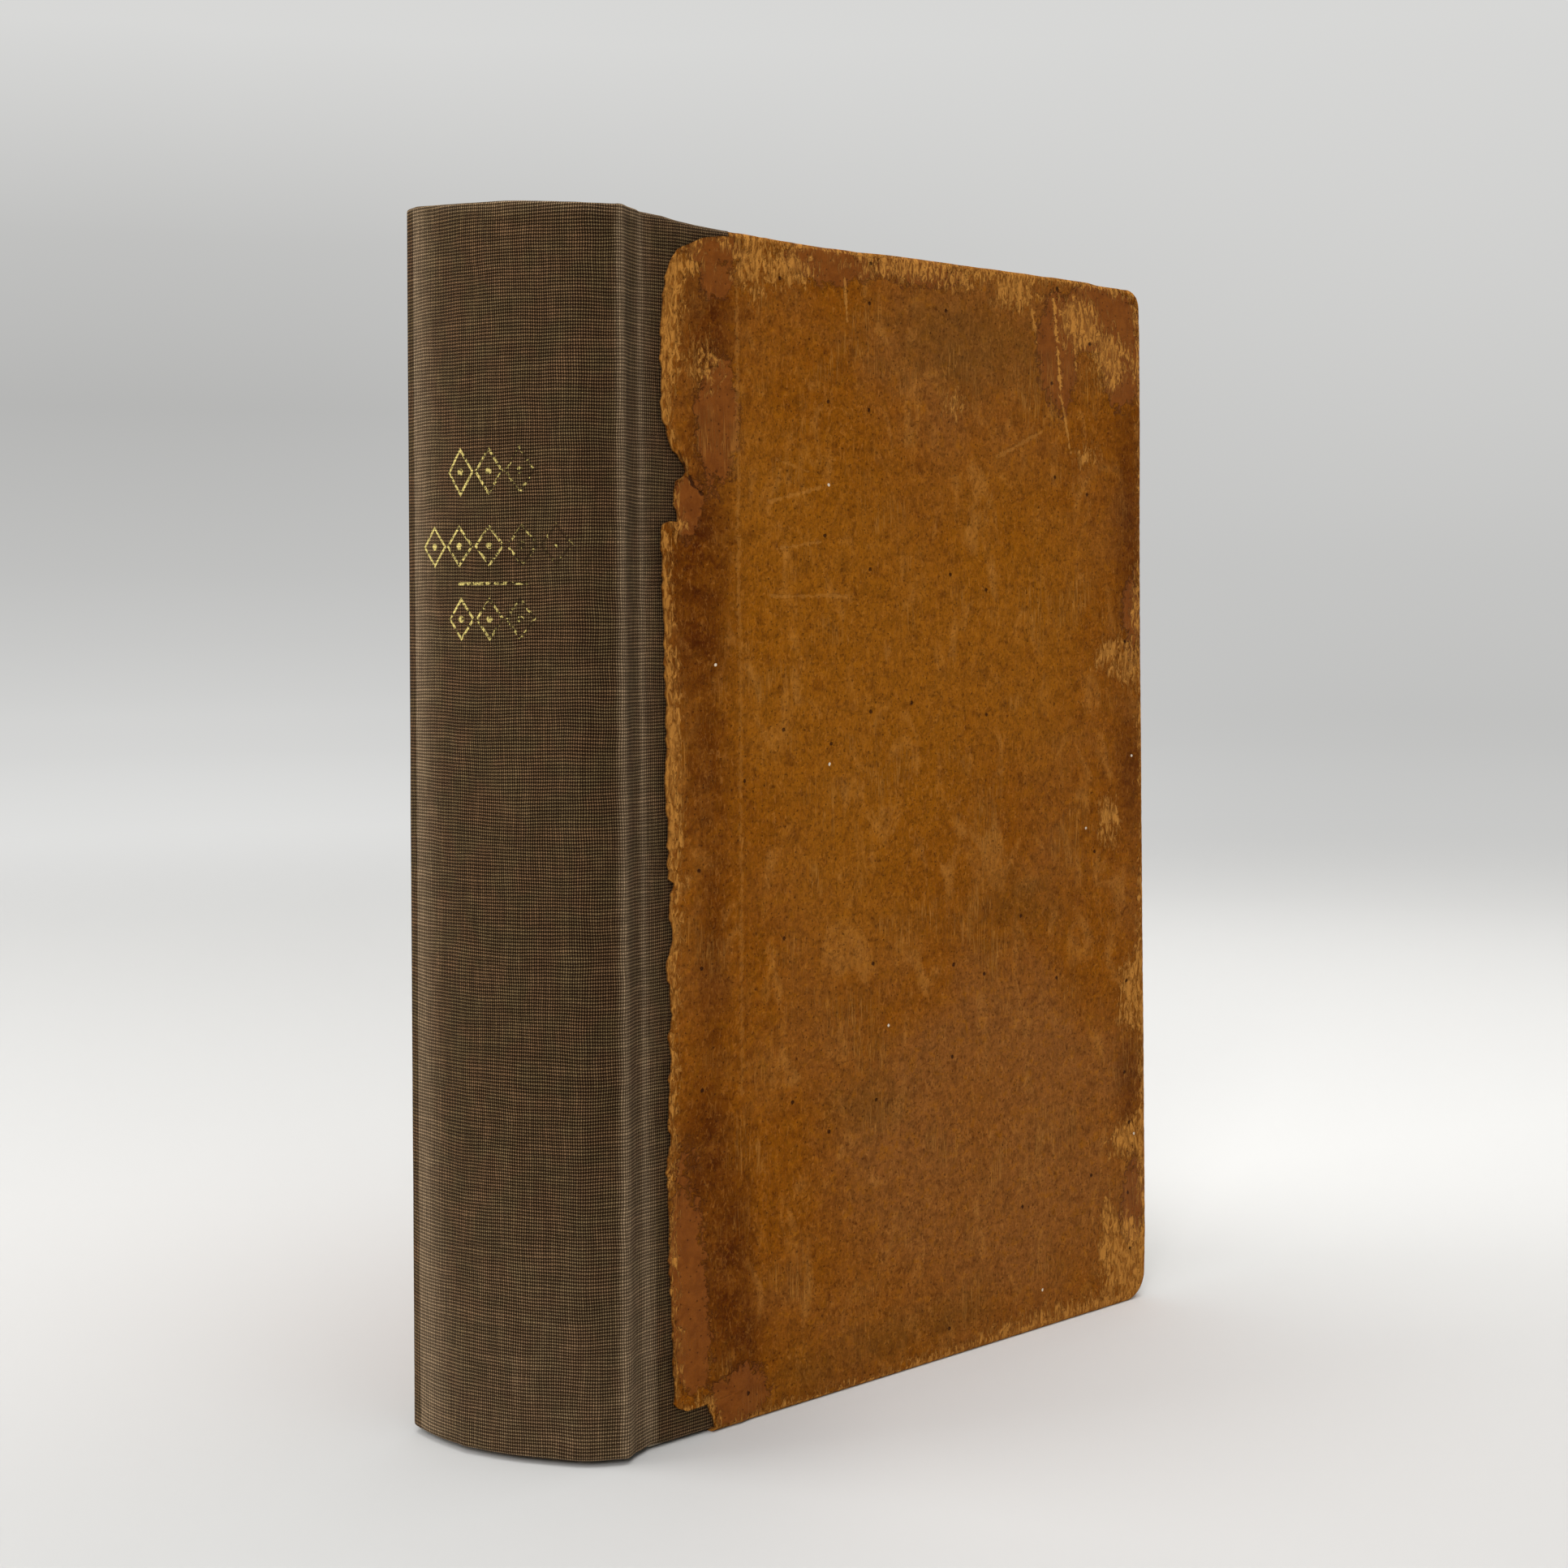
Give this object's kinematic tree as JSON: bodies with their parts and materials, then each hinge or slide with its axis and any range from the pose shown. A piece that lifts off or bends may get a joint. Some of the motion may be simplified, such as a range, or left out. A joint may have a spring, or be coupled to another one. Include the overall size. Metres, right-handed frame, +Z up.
{
  "type": "rebacked leather book",
  "caption": "Upright antique book: worn calf leather boards, newer woven cloth spine over a hollow back, gilt spine bands, front cover ajar; both covers open.",
  "frame": {"origin": "middle of the base of the box round the book as it stands, on the table", "axes": "+X from the spine to the fore-edge of the text block, +Y towards the back cover, +Z up to the head"},
  "size_m": [0.1536, 0.1045, 0.225],
  "materials": {
    "page_paper": "aged matt leaf edges",
    "endpaper": "aged, slightly foxed",
    "lining_paper": "glued paper",
    "inlay_card": "stiff manila card",
    "binders_board": "grey-brown fibre board",
    "old_leather": "worn matt calf, rubbed pale at edges",
    "book_cloth": "open plain weave with slubs, gilt tooling",
    "band_thread": "faded wound thread",
    "hemp_cord": "twisted hemp"
  },
  "bodies": {
    "book": {"text_block": "page_paper", "sewing_cords": "hemp_cord", "spine_lining": "lining_paper", "head_band": "band_thread", "tail_band": "band_thread", "front_flyleaf": "endpaper", "back_flyleaf": "endpaper", "spine_inlay": "inlay_card", "spine_cloth": "book_cloth"},
    "front_cover": {"front_board": "binders_board", "front_leather": "old_leather", "front_pastedown": "endpaper"},
    "back_cover": {"back_board": "binders_board", "back_leather": "old_leather", "back_pastedown": "endpaper"}
  },
  "joints": [
    {"name": "front_joint", "type": "hinge", "parent": "book", "child": "front_cover", "pos_m": [-0.06569, 0.00786, 0.1115], "axis": [0, 0, -1], "range_deg": [-25, 155], "deforming": ["spine_cloth"]},
    {"name": "back_joint", "type": "hinge", "parent": "book", "child": "back_cover", "pos_m": [-0.06569, 0.05199, 0.1115], "axis": [0, 0, 1], "range_deg": [0, 180], "deforming": ["spine_cloth"]}
  ]
}
